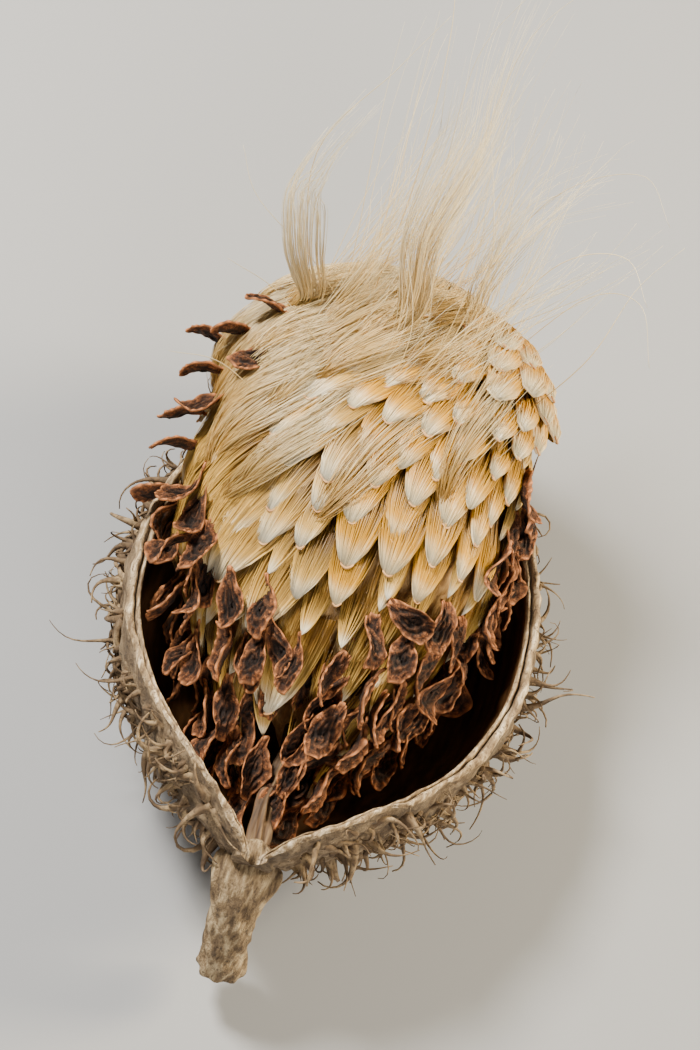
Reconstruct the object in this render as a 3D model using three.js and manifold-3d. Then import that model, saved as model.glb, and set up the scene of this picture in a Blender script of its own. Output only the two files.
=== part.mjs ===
// A ripe milkweed pod, split open along its seam and lying on its back.
//
// The pod lies along +Y, stem end at low Y, beak at high Y, with its opening facing +Z.
// A boat-shaped husk, warty with soft spines, holds a dome of packed silk. Flat brown seeds
// sit on that dome like shingles: they stand out sideways on the left, lie in rows at the
// stem end, and stay pressed along the wall on the right. Loose locks of silk rise from the top.
//
// Lengths are in millimetres and angles in degrees unless a name says otherwise.
// The export is shifted so that the origin is the bottom centre of the whole object.

import * as THREE from "three";
import { mergeVertices } from "three/addons/utils/BufferGeometryUtils.js";
import Module from "manifold-3d";

// ---- driving dimensions ----------------------------------------------------------------

const HUSK = {
  length: 88, // from the notch over the stem to the beak
  halfWidth: 27, // widest half section
  depth: 22, // rim level down to the belly
  wall: 2.0,
  bellyFlat: 1.1, // how much of the belly is flattened where the pod rests
  widestAt: 0.42, // share of the length
  beakRise: -2, // how far the beak end turns up; here it droops a little
  baseRadius: 2.6, // half width of the blunt ends, so that neither is a point
};
const SPINE = { rows: 9, perRow: 6, length: 5.2, radius: 0.75, sides: 5, steps: 3 };
const STEM = { radius: 2.5, collar: 4.6, sides: 10, steps: 10 };
const SEED = { length: 7.8, halfWidth: 2.35, thickness: 0.9, wave: 0.35, stations: 6 };
// The bed is the rounded mass that the seeds sit on, most of it silk.
const BED = {
  start: 7.5, // Y of the lower end, just inside the notch
  end: 84,
  halfWidth: 20.5,
  lean: -2.5, // its middle stands a little left of the pod's
  top: 19.5, // height above the rim level
  bottom: -15,
  bluntness: 3.2, // 2 would give the upper end an elliptical outline
};
// Rows of seeds: shares of the bed's length, millimetres between seeds, and degrees round it.
const ROWS = { count: 11, first: 0.08, step: 0.068, spacing: 4.8, left: -77, right: 88 };
// Loose locks of silk over the dome: each is a route and its greatest radius.
const LOCKS = [
  ["silk_lock_left", [[-15.2, 69, 15.8], [-19.5, 73, 24], [-21.5, 76, 32], [-20, 80, 39]], 1.5],
  ["silk_lock_middle", [[-3, 68, 20.5], [-5, 75, 29], [-3, 86, 38], [-4, 96, 48]], 2],
  ["silk_lock_right", [[4, 73, 18.5], [5, 79, 27], [8, 86, 32], [13, 90, 31]], 1.3],
];
const GAP = 0.3; // clearance between pieces that touch
const LIFT = 0.9; // seeds are attached this far off the silk
const TWIST = 34; // degrees that the lowest seeds are twisted about their own length

const degrees = THREE.MathUtils.degToRad;
const { clamp, lerp, smoothstep } = THREE.MathUtils;

// A small repeatable number source, so that every build gives the same pod.
function numbers(state) {
  return () => {
    state = (state * 1664525 + 1013904223) % 4294967296;
    return state / 4294967296;
  };
}

// ---- solids ----------------------------------------------------------------------------

const wasm = await Module();
wasm.setup();

function geometryOf(points, triangles) {
  const geometry = new THREE.BufferGeometry().setFromPoints(points);
  geometry.setIndex(triangles);
  return geometry;
}

function solidOf(geometry) {
  const merged = mergeVertices(geometry, 1e-4);
  return new wasm.Manifold(
    new wasm.Mesh({
      numProp: 3,
      vertProperties: new Float32Array(merged.attributes.position.array),
      triVerts: new Uint32Array(merged.index.array),
    }),
  );
}

function geometryFrom(solid) {
  const mesh = solid.getMesh();
  const geometry = new THREE.BufferGeometry();
  geometry.setAttribute("position", new THREE.BufferAttribute(mesh.vertProperties, 3));
  geometry.setIndex(new THREE.BufferAttribute(mesh.triVerts, 1));
  return geometry;
}

// Joins rings of equal count into one closed surface, with a fan over each end.
// Each ring runs anticlockwise as seen from the end of the loft.
function loft(rings) {
  const count = rings[0].length;
  const points = rings.flat();
  const triangles = [];
  for (let i = 0; i + 1 < rings.length; i++) {
    for (let j = 0; j < count; j++) {
      const a = i * count + j;
      const b = i * count + ((j + 1) % count);
      triangles.push(a, b, a + count, b, b + count, a + count);
    }
  }
  for (const [ring, flip] of [[0, true], [rings.length - 1, false]]) {
    const middle = new THREE.Vector3();
    rings[ring].forEach((p) => middle.addScaledVector(p, 1 / count));
    points.push(middle);
    for (let j = 0; j < count; j++) {
      const a = ring * count + j;
      const b = ring * count + ((j + 1) % count);
      triangles.push(...(flip ? [b, a] : [a, b]), points.length - 1);
    }
  }
  return geometryOf(points, triangles);
}

// A round tube along a curve, whose radius is a function of the share of its length.
function taperedTube(curve, radiusAt, sides, steps) {
  const frames = curve.computeFrenetFrames(steps, false);
  const rings = [];
  for (let i = 0; i <= steps; i++) {
    const centre = curve.getPointAt(i / steps);
    const ring = [];
    for (let j = 0; j < sides; j++) {
      const turn = (2 * Math.PI * j) / sides;
      const radius = radiusAt(i / steps);
      ring.push(
        centre
          .clone()
          .addScaledVector(frames.normals[i], radius * Math.cos(turn))
          .addScaledVector(frames.binormals[i], radius * Math.sin(turn)),
      );
    }
    rings.push(ring);
  }
  return loft(rings);
}

// ---- husk ------------------------------------------------------------------------------

// How full the husk is at share t of its length: 0 at both ends and 1 at the widest place.
function fullness(t) {
  const rise = 2 * HUSK.widestAt;
  const fall = 2 * (1 - HUSK.widestAt);
  const most = HUSK.widestAt ** rise * (1 - HUSK.widestAt) ** fall;
  return (t ** rise * (1 - t) ** fall) / most;
}

// Half the angle that the wall spans round the section, from the belly up to each rim.
function wallAngle(t) {
  const nearStem = Math.max(0, 1 - t / 0.35);
  const nearBeak = Math.max(0, (t - 0.75) / 0.25);
  return degrees(97 + 45 * nearStem ** 2 + 35 * nearBeak ** 2);
}

function huskWidth(t) {
  return Math.max(HUSK.halfWidth * fullness(t), HUSK.baseRadius);
}

function huskDepth(t) {
  return Math.max(HUSK.depth * fullness(t) ** 0.8, HUSK.baseRadius);
}

// The height of the section's centre, which lifts at the notch and towards the beak.
function sheer(t) {
  return HUSK.beakRise * smoothstep(t, 0.6, 1) + 1.5 * (1 - smoothstep(t, 0, 0.2));
}

// A point on the husk: t runs from stem to beak, v from -1 (left rim) to 1 (right rim),
// and inward is the depth below the outer surface.
function huskPoint(t, v, inward = 0) {
  const angle = v * wallAngle(t);
  const z = sheer(t) - (huskDepth(t) - inward) * Math.cos(angle);
  const flat = -HUSK.depth + HUSK.bellyFlat;
  return new THREE.Vector3(
    (huskWidth(t) - inward) * Math.sin(angle),
    HUSK.length * t,
    inward > 0 ? z : Math.max(z, flat),
  );
}

function wallAt(t) {
  return Math.min(HUSK.wall, 0.7 * huskWidth(t));
}

const HUSK_STATIONS = 30;
const HUSK_ACROSS = 20;

// The stations crowd together near both ends, where the section changes fastest.
function stationShare(i) {
  return 0.004 + 0.992 * (0.5 - 0.5 * Math.cos((Math.PI * i) / HUSK_STATIONS));
}

function huskShell() {
  const rings = [];
  for (let i = 0; i <= HUSK_STATIONS; i++) {
    const t = stationShare(i);
    const outer = [];
    const inner = [];
    for (let j = 0; j <= HUSK_ACROSS; j++) {
      const v = (2 * j) / HUSK_ACROSS - 1;
      outer.push(huskPoint(t, v));
      inner.unshift(huskPoint(t, v, wallAt(t)));
    }
    rings.push([...outer, ...inner]);
  }
  const count = rings[0].length;
  const triangles = [];
  for (let i = 0; i < HUSK_STATIONS; i++) {
    for (let j = 0; j < count; j++) {
      const a = i * count + j;
      const b = i * count + ((j + 1) % count);
      triangles.push(a, a + count, b, b, a + count, b + count);
    }
  }
  // Each end is a narrow band between the outer and the inner arc.
  for (const [ring, flip] of [[0, false], [HUSK_STATIONS, true]]) {
    for (let j = 0; j < HUSK_ACROSS; j++) {
      const a = ring * count + j;
      const b = a + 1;
      const c = ring * count + count - 1 - j;
      const d = c - 1;
      const faces = [[a, b, c], [b, d, c]];
      faces.forEach(([p, q, r]) => triangles.push(...(flip ? [p, r, q] : [p, q, r])));
    }
  }
  return geometryOf(rings.flat(), triangles);
}

// The outward direction of the husk's outer surface.
function huskNormal(t, v) {
  const step = 0.01;
  const along = huskPoint(t + step, v).sub(huskPoint(t - step, v));
  const across = huskPoint(t, v + step).sub(huskPoint(t, v - step));
  return across.cross(along).normalize().negate();
}

// One soft spine: a thin cone that leaves the wall and curls towards the stem or the beak.
function spine(t, v, length, curl) {
  const root = huskPoint(t, v);
  const out = huskNormal(t, v);
  const side = new THREE.Vector3(0, 1, 0).multiplyScalar(curl);
  const start = root.clone().addScaledVector(out, -0.8);
  const middle = root.clone().addScaledVector(out, 0.6 * length);
  const end = middle.clone().addScaledVector(out, 0.25 * length).addScaledVector(side, 0.5 * length);
  const curve = new THREE.CatmullRomCurve3([start, middle, end]);
  const radiusAt = (share) => SPINE.radius * (1 - 0.8 * share);
  return taperedTube(curve, radiusAt, SPINE.sides, SPINE.steps);
}

function husk() {
  let solid = solidOf(huskShell());
  const next = numbers(7);
  for (let row = 0; row < SPINE.rows; row++) {
    const t = lerp(0.12, 0.84, row / (SPINE.rows - 1));
    for (let k = 0; k < SPINE.perRow; k++) {
      const up = 0.5 + 0.2 * (k % 3) + 0.04 * (row % 2); // clear of the belly and of the rim
      const v = k < SPINE.perRow / 2 ? -up : up;
      const length = SPINE.length * (0.75 + 0.5 * next());
      solid = solid.add(solidOf(spine(t + 0.03 * next(), v, length, next() < 0.5 ? -1 : 1)));
    }
  }
  return geometryFrom(solid);
}

// ---- stem ------------------------------------------------------------------------------

// The stalk turns down from the husk's stem end and is cut off square.
function stem() {
  const curve = new THREE.CatmullRomCurve3([
    new THREE.Vector3(0, 1.5, -2.5),
    new THREE.Vector3(0, -2.6, -4.5),
    new THREE.Vector3(0.6, -5.6, -9),
    new THREE.Vector3(1.4, -7.2, -15),
  ]);
  const radiusAt = (share) => lerp(STEM.collar, STEM.radius, smoothstep(share, 0, 0.65));
  const stalk = solidOf(taperedTube(curve, radiusAt, STEM.sides, STEM.steps));
  const rings = [];
  for (let i = 0; i <= HUSK_STATIONS; i++) {
    const t = stationShare(i);
    const ring = [];
    for (let j = 0; j <= HUSK_ACROSS; j++) {
      ring.push(huskPoint(t, (2 * j) / HUSK_ACROSS - 1, -2 * GAP));
    }
    ring.push(ring[0].clone().lerp(ring[HUSK_ACROSS], 0.5).setZ(12));
    ring.reverse();
    rings.push(ring);
  }
  const front = rings[0].map((p) => p.clone().setY(p.y - 3 * GAP));
  return geometryFrom(stalk.subtract(solidOf(loft([front, ...rings]))));
}

// ---- seed bed ----------------------------------------------------------------------------

// How wide the bed is at share s of its length: a cone from the lower end, then a blunt top.
function bedSwell(s) {
  const widest = 0.55;
  if (s < widest) return Math.sin((Math.PI / 2) * (Math.max(s, 0) / widest)) ** 1.1;
  return Math.sqrt(Math.max(0, 1 - ((s - widest) / (1 - widest)) ** BED.bluntness));
}

// The surface that the seeds sit on: s runs from its lower end to its upper end, and turn
// goes round it in radians, 0 at the top, negative on the left and positive on the right.
function bedPoint(s, turn, scale = 1) {
  const swell = bedSwell(s) * scale;
  const middle = lerp(-6, 4, smoothstep(s, 0, 0.75));
  const up = Math.cos(turn);
  const reach = up > 0 ? BED.top - 4 : -BED.bottom + 0.35 * middle;
  return new THREE.Vector3(
    BED.lean * smoothstep(s, 0.1, 0.6) + BED.halfWidth * swell * Math.sin(turn),
    lerp(BED.start, BED.end, s),
    middle + reach * swell * up,
  );
}

// The bed's own directions at a place: towards the beak, out of the surface, and across both.
function bedFrame(s, turn) {
  const step = 0.01;
  const along = bedPoint(s + step, turn).sub(bedPoint(s - step, turn)).normalize();
  const round = bedPoint(s, turn + step).sub(bedPoint(s, turn - step));
  const out = round.cross(along).normalize();
  return { along, out, across: new THREE.Vector3().crossVectors(along, out) };
}

// Keeps a point that lies below the rims inside the husk's cavity, clear of its wall.
function keptInHusk(point, clearance) {
  const t = clamp(point.y / HUSK.length, 0.01, 0.99);
  const least = 0.6; // left for it where the cavity closes up at the ends
  const width = Math.max(huskWidth(t) - wallAt(t) - clearance, least);
  const depth = Math.max(huskDepth(t) - wallAt(t) - clearance, least);
  const rim = sheer(t) - huskDepth(t) * Math.cos(wallAngle(t)) + clearance;
  if (point.z > rim) return point;
  point.z = Math.max(point.z, sheer(t) - 0.98 * depth);
  const drop = clamp((sheer(t) - point.z) / depth, 0, 1);
  const side = width * Math.sqrt(1 - drop ** 2);
  point.x = clamp(point.x, -side, side);
  return point;
}

// ---- silk ----------------------------------------------------------------------------------

// The dome of packed silk fills the bed, and tapers to a point among the lowest seeds.
function silkDome() {
  const stations = 18;
  const around = 20;
  const rings = [];
  for (let i = 0; i <= stations; i++) {
    const s = lerp(0.16, 0.985, 0.5 - 0.5 * Math.cos((Math.PI * i) / stations));
    const scale = smoothstep(s, 0.1, 0.38);
    const ring = [];
    for (let j = 0; j < around; j++) {
      ring.push(keptInHusk(bedPoint(s, 2 * Math.PI * (j / around), scale), 3.1));
    }
    rings.push(ring);
  }
  return loft(rings);
}

// A lock of loose silk that rises from the dome: narrow at both ends and fuller between.
function lock(points, radius) {
  const curve = new THREE.CatmullRomCurve3(points.map((p) => new THREE.Vector3(...p)));
  const radiusAt = (share) => radius * (0.3 + Math.sin(Math.PI * (0.12 + 0.85 * share)));
  return taperedTube(curve, radiusAt, 7, 9);
}

// ---- placenta ------------------------------------------------------------------------------

// The papery column that the seeds grew on, seen at the stem end between the lowest seeds.
function placenta() {
  const stations = 6;
  const rings = [];
  for (let i = 0; i <= stations; i++) {
    const share = i / stations;
    const half = lerp(1.1, 0.6, share);
    const y = lerp(6.5, 17.5, share);
    const top = lerp(-2.4, -3.4, share);
    const base = lerp(-4.6, -5.6, share);
    rings.push([
      new THREE.Vector3(0.35 * half, y, top),
      new THREE.Vector3(half, y, base),
      new THREE.Vector3(-half, y, base),
      new THREE.Vector3(-0.35 * half, y, top),
    ]);
  }
  return loft(rings);
}

// ---- seeds ---------------------------------------------------------------------------------

// A seed lies along its own X from the silk end to the round end: a thick kernel within a
// thin wing that waves. Y is its width and Z its thickness.
function seedGeometry(wave) {
  const rings = [];
  for (let i = 0; i <= SEED.stations; i++) {
    const share = i / SEED.stations;
    const wide = SEED.halfWidth * (0.2 + 0.8 * Math.sin(Math.PI * share ** 1.35) ** 0.8);
    const thick = (SEED.thickness / 2) * (0.5 + 0.5 * Math.sin(Math.PI * share));
    const x = SEED.length * share;
    const bend = wave * Math.sin(2.2 * Math.PI * share);
    const sag = 0.5 * wave * Math.cos(3 * share);
    rings.push([
      new THREE.Vector3(x, wide, bend + sag),
      new THREE.Vector3(x, 0, sag + thick),
      new THREE.Vector3(x, -wide, -bend + sag),
      new THREE.Vector3(x, 0, sag - thick),
    ]);
  }
  return loft(rings);
}

// Where a seed sits: on the bed at (s, turn), its round end lifted off the bed by flare,
// swung sideways by swing and rolled about its own length by roll, all in degrees.
function seedMatrix({ s, turn, flare, swing = 0, roll = 0, lift = LIFT }) {
  const { along, out, across } = bedFrame(s, degrees(turn));
  const root = bedPoint(s, degrees(turn)).addScaledVector(out, lift);
  const flat = along
    .clone()
    .multiplyScalar(-Math.cos(degrees(swing)))
    .addScaledVector(across, Math.sin(degrees(swing)));
  const length = flat
    .clone()
    .multiplyScalar(Math.cos(degrees(flare)))
    .addScaledVector(out, Math.sin(degrees(flare)));
  const face = flat
    .multiplyScalar(-Math.sin(degrees(flare)))
    .addScaledVector(out, Math.cos(degrees(flare)))
    .applyAxisAngle(length, degrees(roll));
  const width = new THREE.Vector3().crossVectors(face, length);
  return new THREE.Matrix4().makeBasis(length, width, face).setPosition(root);
}

// Seeds keep to the stem end and to both sides: the top of the dome has already shed its own.
function hasSeed(s, turn) {
  const leftEdge = lerp(10, -62, smoothstep(s, 0.26, 0.5));
  const rightEdge = lerp(-10, 62, smoothstep(s, 0.26, 0.5));
  const rightEnd = 0.72;
  const parted = s < 0.24 && Math.abs(turn + 14) < 18; // the placenta shows here
  if (parted) return false;
  return turn < leftEdge || (turn > rightEdge && s < rightEnd);
}

// The rows of seeds, from the stem end up, each with as many as its girth has room for.
function seedRows() {
  const next = numbers(23);
  const found = [];
  for (let row = 0; row < ROWS.count; row++) {
    const s = ROWS.first + row * ROWS.step;
    const spacing = (180 / Math.PI) * (ROWS.spacing / (BED.halfWidth * bedSwell(s)));
    const start = ROWS.left + (row % 2 ? 0.5 * spacing : 0);
    for (let turn = start; turn <= ROWS.right; turn += spacing) {
      const loose = [next(), next(), next()].map((n) => 2 * n - 1);
      if (!hasSeed(s, turn)) continue;
      const sprung = smoothstep(-turn, 30, 80) * smoothstep(s, 0.15, 0.45);
      const twisted = (1 - smoothstep(s, 0.3, 0.42)) * (1 - smoothstep(Math.abs(turn), 40, 75));
      found.push({
        s,
        turn,
        flare: lerp(16, 66, sprung) + 4 * loose[0],
        swing: 7 * loose[1],
        roll: lerp(12, TWIST, twisted) * (loose[2] < 0 ? loose[2] - 0.4 : loose[2] + 0.4),
        lift: LIFT + 0.8 * twisted,
      });
    }
  }
  return found;
}

// Seeds that have come loose and lie on the silk.
const LOOSE_SEEDS = [
  { s: 0.37, turn: 20, flare: 4, swing: 72, roll: 6, lift: 2.2 },
  { s: 0.72, turn: -44, flare: 22, swing: -35, roll: -10, lift: 1.6 },
  { s: 0.8, turn: -46, flare: 35, swing: -50, roll: 10, lift: 1.8 },
];

// ---- the pod -------------------------------------------------------------------------------

const PAINTS = {
  husk: new THREE.MeshStandardMaterial({ color: 0xa8977c, roughness: 0.95 }),
  stem: new THREE.MeshStandardMaterial({ color: 0xb0a284, roughness: 0.9 }),
  placenta: new THREE.MeshStandardMaterial({ color: 0x5f3a1d, roughness: 0.6 }),
  seed: new THREE.MeshStandardMaterial({ color: 0x5a2c1a, roughness: 0.7 }),
  silk: new THREE.MeshStandardMaterial({ color: 0xf0dfb8, roughness: 0.45 }),
};

const pod = new THREE.Group();

function place(name, geometry, paint) {
  const mesh = new THREE.Mesh(geometry, paint);
  mesh.name = name;
  pod.add(mesh);
  return mesh;
}

place("husk", husk(), PAINTS.husk);
place("stem", stem(), PAINTS.stem);
place("placenta", placenta(), PAINTS.placenta);
place("silk_dome", silkDome(), PAINTS.silk);
for (const [name, points, radius] of LOCKS) place(name, lock(points, radius), PAINTS.silk);

[...seedRows(), ...LOOSE_SEEDS].forEach((seat, i) => {
  const seed = place(
    `seed_${String(i + 1).padStart(2, "0")}`,
    seedGeometry(SEED.wave * (i % 2 ? 1 : -1)),
    PAINTS.seed,
  );
  seed.applyMatrix4(seedMatrix(seat));
});

// The origin is the middle of the bottom of the whole object.
const box = new THREE.Box3().setFromObject(pod, true);
const middle = box.getCenter(new THREE.Vector3());
pod.position.set(-middle.x, -middle.y, -box.min.z);

export default pod;
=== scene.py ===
"""A ripe milkweed pod, split open and lying on its back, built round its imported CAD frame.

Lengths are millimetres in the pod's own frame: +Y runs from the stem end to the beak and +Z
out of the split. put() turns them into the row frame's metres. The husk and the seed bed
follow the same formulas as the CAD solids, and every seed and lock takes its place from its
CAD node.
"""

from math import cos, pi, radians, sin

import bmesh
import bpy
import numpy as np
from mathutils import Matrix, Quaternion, Vector


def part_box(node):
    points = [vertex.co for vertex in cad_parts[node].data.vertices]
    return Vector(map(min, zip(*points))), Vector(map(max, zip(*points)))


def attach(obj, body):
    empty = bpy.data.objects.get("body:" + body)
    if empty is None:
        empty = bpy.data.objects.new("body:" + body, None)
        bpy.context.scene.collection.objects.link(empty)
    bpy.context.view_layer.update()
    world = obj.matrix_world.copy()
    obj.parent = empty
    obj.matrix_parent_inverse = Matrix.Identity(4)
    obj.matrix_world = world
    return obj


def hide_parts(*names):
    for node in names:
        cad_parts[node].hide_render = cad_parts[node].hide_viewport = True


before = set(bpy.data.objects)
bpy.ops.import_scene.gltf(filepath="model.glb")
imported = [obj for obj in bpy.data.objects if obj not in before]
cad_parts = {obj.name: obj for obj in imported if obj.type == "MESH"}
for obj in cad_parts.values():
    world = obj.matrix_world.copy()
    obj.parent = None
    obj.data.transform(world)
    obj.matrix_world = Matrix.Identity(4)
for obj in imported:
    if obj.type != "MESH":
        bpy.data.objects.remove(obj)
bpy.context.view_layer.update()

MM = 0.001

# ---- the pod's own frame ----

HUSK_LENGTH = 88.0
HUSK_HALF_WIDTH = 27.0
HUSK_DEPTH = 22.0
HUSK_WALL = 2.0
BELLY_FLAT = 1.1  # how much of the depth the flat that it rests on cuts off
WIDEST_AT = 0.42  # share of the length
BEAK_RISE = -2.0
BASE_RADIUS = 2.6  # of the husk where the stem joins it
END_SHARE = 0.004  # the husk's end sections stand this share of the length in from its ends

BED_START, BED_END = 7.5, 84.0
BED_HALF_WIDTH, BED_LEAN, BED_TOP, BED_BOTTOM = 20.5, -2.5, 19.5, -15.0
BED_BLUNTNESS = 3.2
BED_LENGTH = BED_END - BED_START
BED_REACH = BED_TOP - 4  # from the bed's axis to its top, where the axis is highest
BED_TIP = 0.9999  # the bed is used up to this share of its length

husk_low = np.array(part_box("husk")[0]) / MM
column_low, column_high = (np.array(corner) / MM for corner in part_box("placenta"))
SHIFT = np.array([
    (column_low[0] + column_high[0]) / 2,  # the column stands on the pod's middle plane
    husk_low[1] - END_SHARE * HUSK_LENGTH,
    husk_low[2] + HUSK_DEPTH - BELLY_FLAT,
])


def put(points):
    """Points of the pod's own frame, in the row frame's metres."""
    return (np.asarray(points, float) + SHIFT) * MM


def smoothstep(x, low, high):
    share = np.clip((np.asarray(x, float) - low) / (high - low), 0, 1)
    return share * share * (3 - 2 * share)


def lerp(a, b, share):
    return a + (b - a) * share


def unit(vectors):
    return vectors / np.maximum(np.linalg.norm(vectors, axis=-1, keepdims=True), 1e-9)


# ---- husk formulas ----


def fullness(t):
    """The husk's section at t, from nothing at its ends to 1 where it is widest."""
    t = np.clip(t, 0, 1)
    rise, fall = 2 * WIDEST_AT, 2 * (1 - WIDEST_AT)
    most = WIDEST_AT**rise * (1 - WIDEST_AT) ** fall
    return t**rise * (1 - t) ** fall / most


def wall_angle(t):
    """How far round from the belly the wall reaches, on each side."""
    near_stem = np.maximum(0, 1 - t / 0.35)
    near_beak = np.maximum(0, (t - 0.75) / 0.25)
    return np.radians(97 + 45 * near_stem**2 + 35 * near_beak**2)


def husk_width(t):
    return np.maximum(HUSK_HALF_WIDTH * fullness(t), BASE_RADIUS)


def husk_depth(t):
    return np.maximum(HUSK_DEPTH * fullness(t) ** 0.8, BASE_RADIUS)


def husk_wall(t):
    return np.minimum(HUSK_WALL, 0.7 * husk_width(t))


def sheer(t):
    """How high the rims stand."""
    return BEAK_RISE * smoothstep(t, 0.6, 1) + 1.5 * (1 - smoothstep(t, 0, 0.2))


def husk_point(t, v, inward=0.0):
    """A point of the husk: t from stem to beak, v from -1 at the left rim to 1 at the right."""
    t, v, inward = np.broadcast_arrays(*(np.asarray(a, float) for a in (t, v, inward)))
    angle = v * wall_angle(t)
    z = sheer(t) - (husk_depth(t) - inward) * np.cos(angle)
    z = np.where(inward > 0.3, z, np.maximum(z, BELLY_FLAT - HUSK_DEPTH))
    return np.stack([(husk_width(t) - inward) * np.sin(angle), HUSK_LENGTH * t, z], -1)


def husk_normal(t, v):
    step = 0.01
    along = husk_point(t + step, v) - husk_point(t - step, v)
    across = husk_point(t, v + step) - husk_point(t, v - step)
    return -unit(np.cross(across, along))


# ---- bed formulas ----


def bed_swell(s):
    widest = 0.55
    low = np.sin(pi / 2 * np.clip(s, 0, widest) / widest) ** 1.1
    past = np.maximum(s - widest, 0) / (1 - widest)
    high = np.sqrt(np.maximum(0, 1 - past**BED_BLUNTNESS))
    return np.where(s < widest, low, high)


def bed_slant(s):
    """Millimetres along the bed's surface for a unit of s: more where the surface turns in."""
    step = 0.002
    s = np.clip(s, step, BED_TIP - step)
    inward = BED_HALF_WIDTH * (bed_swell(s + step) - bed_swell(s - step)) / (2 * step)
    return np.hypot(BED_LENGTH, inward)


def bed_axis(s):
    """The middle of the bed's section: how far it stands to the right, and how high."""
    return BED_LEAN * smoothstep(s, 0.1, 0.6), lerp(-6, 4, smoothstep(s, 0, 0.75))


def bed_place(point):
    """Where on the bed a point stands, as bed_point's s and turn."""
    s = (point[1] - BED_START) / BED_LENGTH
    x, z = bed_axis(s)
    return s, np.arctan2((point[0] - x) / BED_HALF_WIDTH, (point[2] - z) / BED_REACH)


def bed_point(s, turn, height=0.0):
    """A point over the seed bed: s from its stem end to its beak end, turn in radians round
    it from its top, height in millimetres off it."""
    s, turn, height = np.broadcast_arrays(*(np.asarray(a, float) for a in (s, turn, height)))
    swell = bed_swell(np.clip(s, 0, BED_TIP))
    lean, middle = bed_axis(s)
    up = np.cos(turn)
    reach = np.where(up > 0, BED_REACH, -BED_BOTTOM + 0.35 * middle)
    x = lean + (BED_HALF_WIDTH * swell + height) * np.sin(turn)
    y = BED_START + BED_LENGTH * s
    return np.stack([x, y, middle + (reach * swell + height) * up], -1)


def bed_frame(s, turn):
    """The bed's own directions: towards the beak, out of the surface, and to the right."""
    step = 0.01
    along = unit(bed_point(s + step, turn) - bed_point(s - step, turn))
    round_ = bed_point(s, turn + step) - bed_point(s, turn - step)
    out = unit(np.cross(round_, along))
    return along, out, np.cross(along, out)


# ---- mesh helpers ----


def new_piece(name, points, faces, materials):
    """A mesh object from points in the pod's frame and an array of faces of equal size."""
    mesh = bpy.data.meshes.new(name)
    points = put(points).astype(np.float32)
    faces = np.asarray(faces, np.int32)
    count, corners = faces.shape
    mesh.vertices.add(len(points))
    mesh.vertices.foreach_set("co", points.ravel())
    mesh.loops.add(count * corners)
    mesh.loops.foreach_set("vertex_index", faces.ravel())
    mesh.polygons.add(count)
    mesh.polygons.foreach_set("loop_start", np.arange(0, count * corners, corners, dtype=np.int32))
    mesh.polygons.foreach_set("use_smooth", np.full(count, True))
    mesh.update(calc_edges=True)
    for material in materials:
        mesh.materials.append(material)
    piece = bpy.data.objects.new(name, mesh)
    bpy.context.scene.collection.objects.link(piece)
    return piece


def set_uv(piece, name, per_vertex):
    layer = piece.data.uv_layers.new(name=name)
    index = np.zeros(len(piece.data.loops), np.int32)
    piece.data.loops.foreach_get("vertex_index", index)
    layer.data.foreach_set("uv", per_vertex[index].astype(np.float32).ravel())


def set_attribute(piece, name, values):
    layer = piece.data.attributes.new(name, "FLOAT", "POINT")
    layer.data.foreach_set("value", np.asarray(values, np.float32))


def grid_faces(rows, columns, closed=False, start=0, flip=False):
    """Quads over a grid of rows by columns; a closed one joins its last column to its first."""
    last = columns if closed else columns - 1
    i, j = np.meshgrid(np.arange(rows - 1), np.arange(last), indexing="ij")
    a = start + i * columns + j
    b = start + i * columns + (j + 1) % columns
    quads = np.stack([a, b, b + columns, a + columns], -1).reshape(-1, 4)
    return quads[:, ::-1] if flip else quads


def shell_faces(rows, columns):
    """Two grids of the same size, the first on top, joined along their four edges."""
    size = rows * columns
    grid = np.arange(size).reshape(rows, columns)
    edge = np.concatenate([grid[0, :-1], grid[:-1, -1], grid[-1, :0:-1], grid[:0:-1, 0]])
    ahead = np.roll(edge, -1)
    seam = np.stack([ahead, edge, edge + size, ahead + size], -1)
    return np.vstack([grid_faces(rows, columns),
                      grid_faces(rows, columns, start=size, flip=True), seam])


def tubes(name, paths, radii, sides, materials, shades=None):
    """One piece holding a closed tapered tube along each path. paths is (tubes, steps, 3), and
    radii is (tubes, steps). A strand's map holds its shade across and its length up."""
    count, steps, _ = paths.shape
    tangent = unit(np.gradient(paths, axis=1))
    guide = np.where(np.abs(tangent[..., 2:]) > 0.9, [[[1.0, 0, 0]]], [[[0, 0, 1.0]]])
    side = unit(np.cross(tangent, guide))
    lift = np.cross(side, tangent)
    turn = 2 * pi * np.arange(sides) / sides
    ring = side[:, :, None] * np.cos(turn)[:, None] + lift[:, :, None] * np.sin(turn)[:, None]
    points = paths[:, :, None] + ring * radii[:, :, None, None]
    walls = grid_faces(steps, sides, closed=True, flip=True)
    walls = np.concatenate([walls[:, [0, 1, 2]], walls[:, [0, 2, 3]]])
    k = np.arange(1, sides - 1)
    fan = np.stack([0 * k, k, k + 1], -1)
    block = np.concatenate([walls, fan, (steps - 1) * sides + fan[:, ::-1]])
    offsets = (np.arange(count) * steps * sides)[:, None, None]
    piece = new_piece(name, points.reshape(-1, 3), (block[None] + offsets).reshape(-1, 3),
                      materials)
    if shades is not None:
        u = (shades[:, None, None] + 0.25 + 0.5 * (np.arange(sides) / sides)) / SHADES
        v = 0.02 + 0.96 * (np.arange(steps) / (steps - 1))[None, :, None]
        u, v = np.broadcast_arrays(u + 0 * v, v + 0 * u)
        set_uv(piece, "OFBake", np.stack([u, v], -1).reshape(-1, 2))
    return piece


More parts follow.
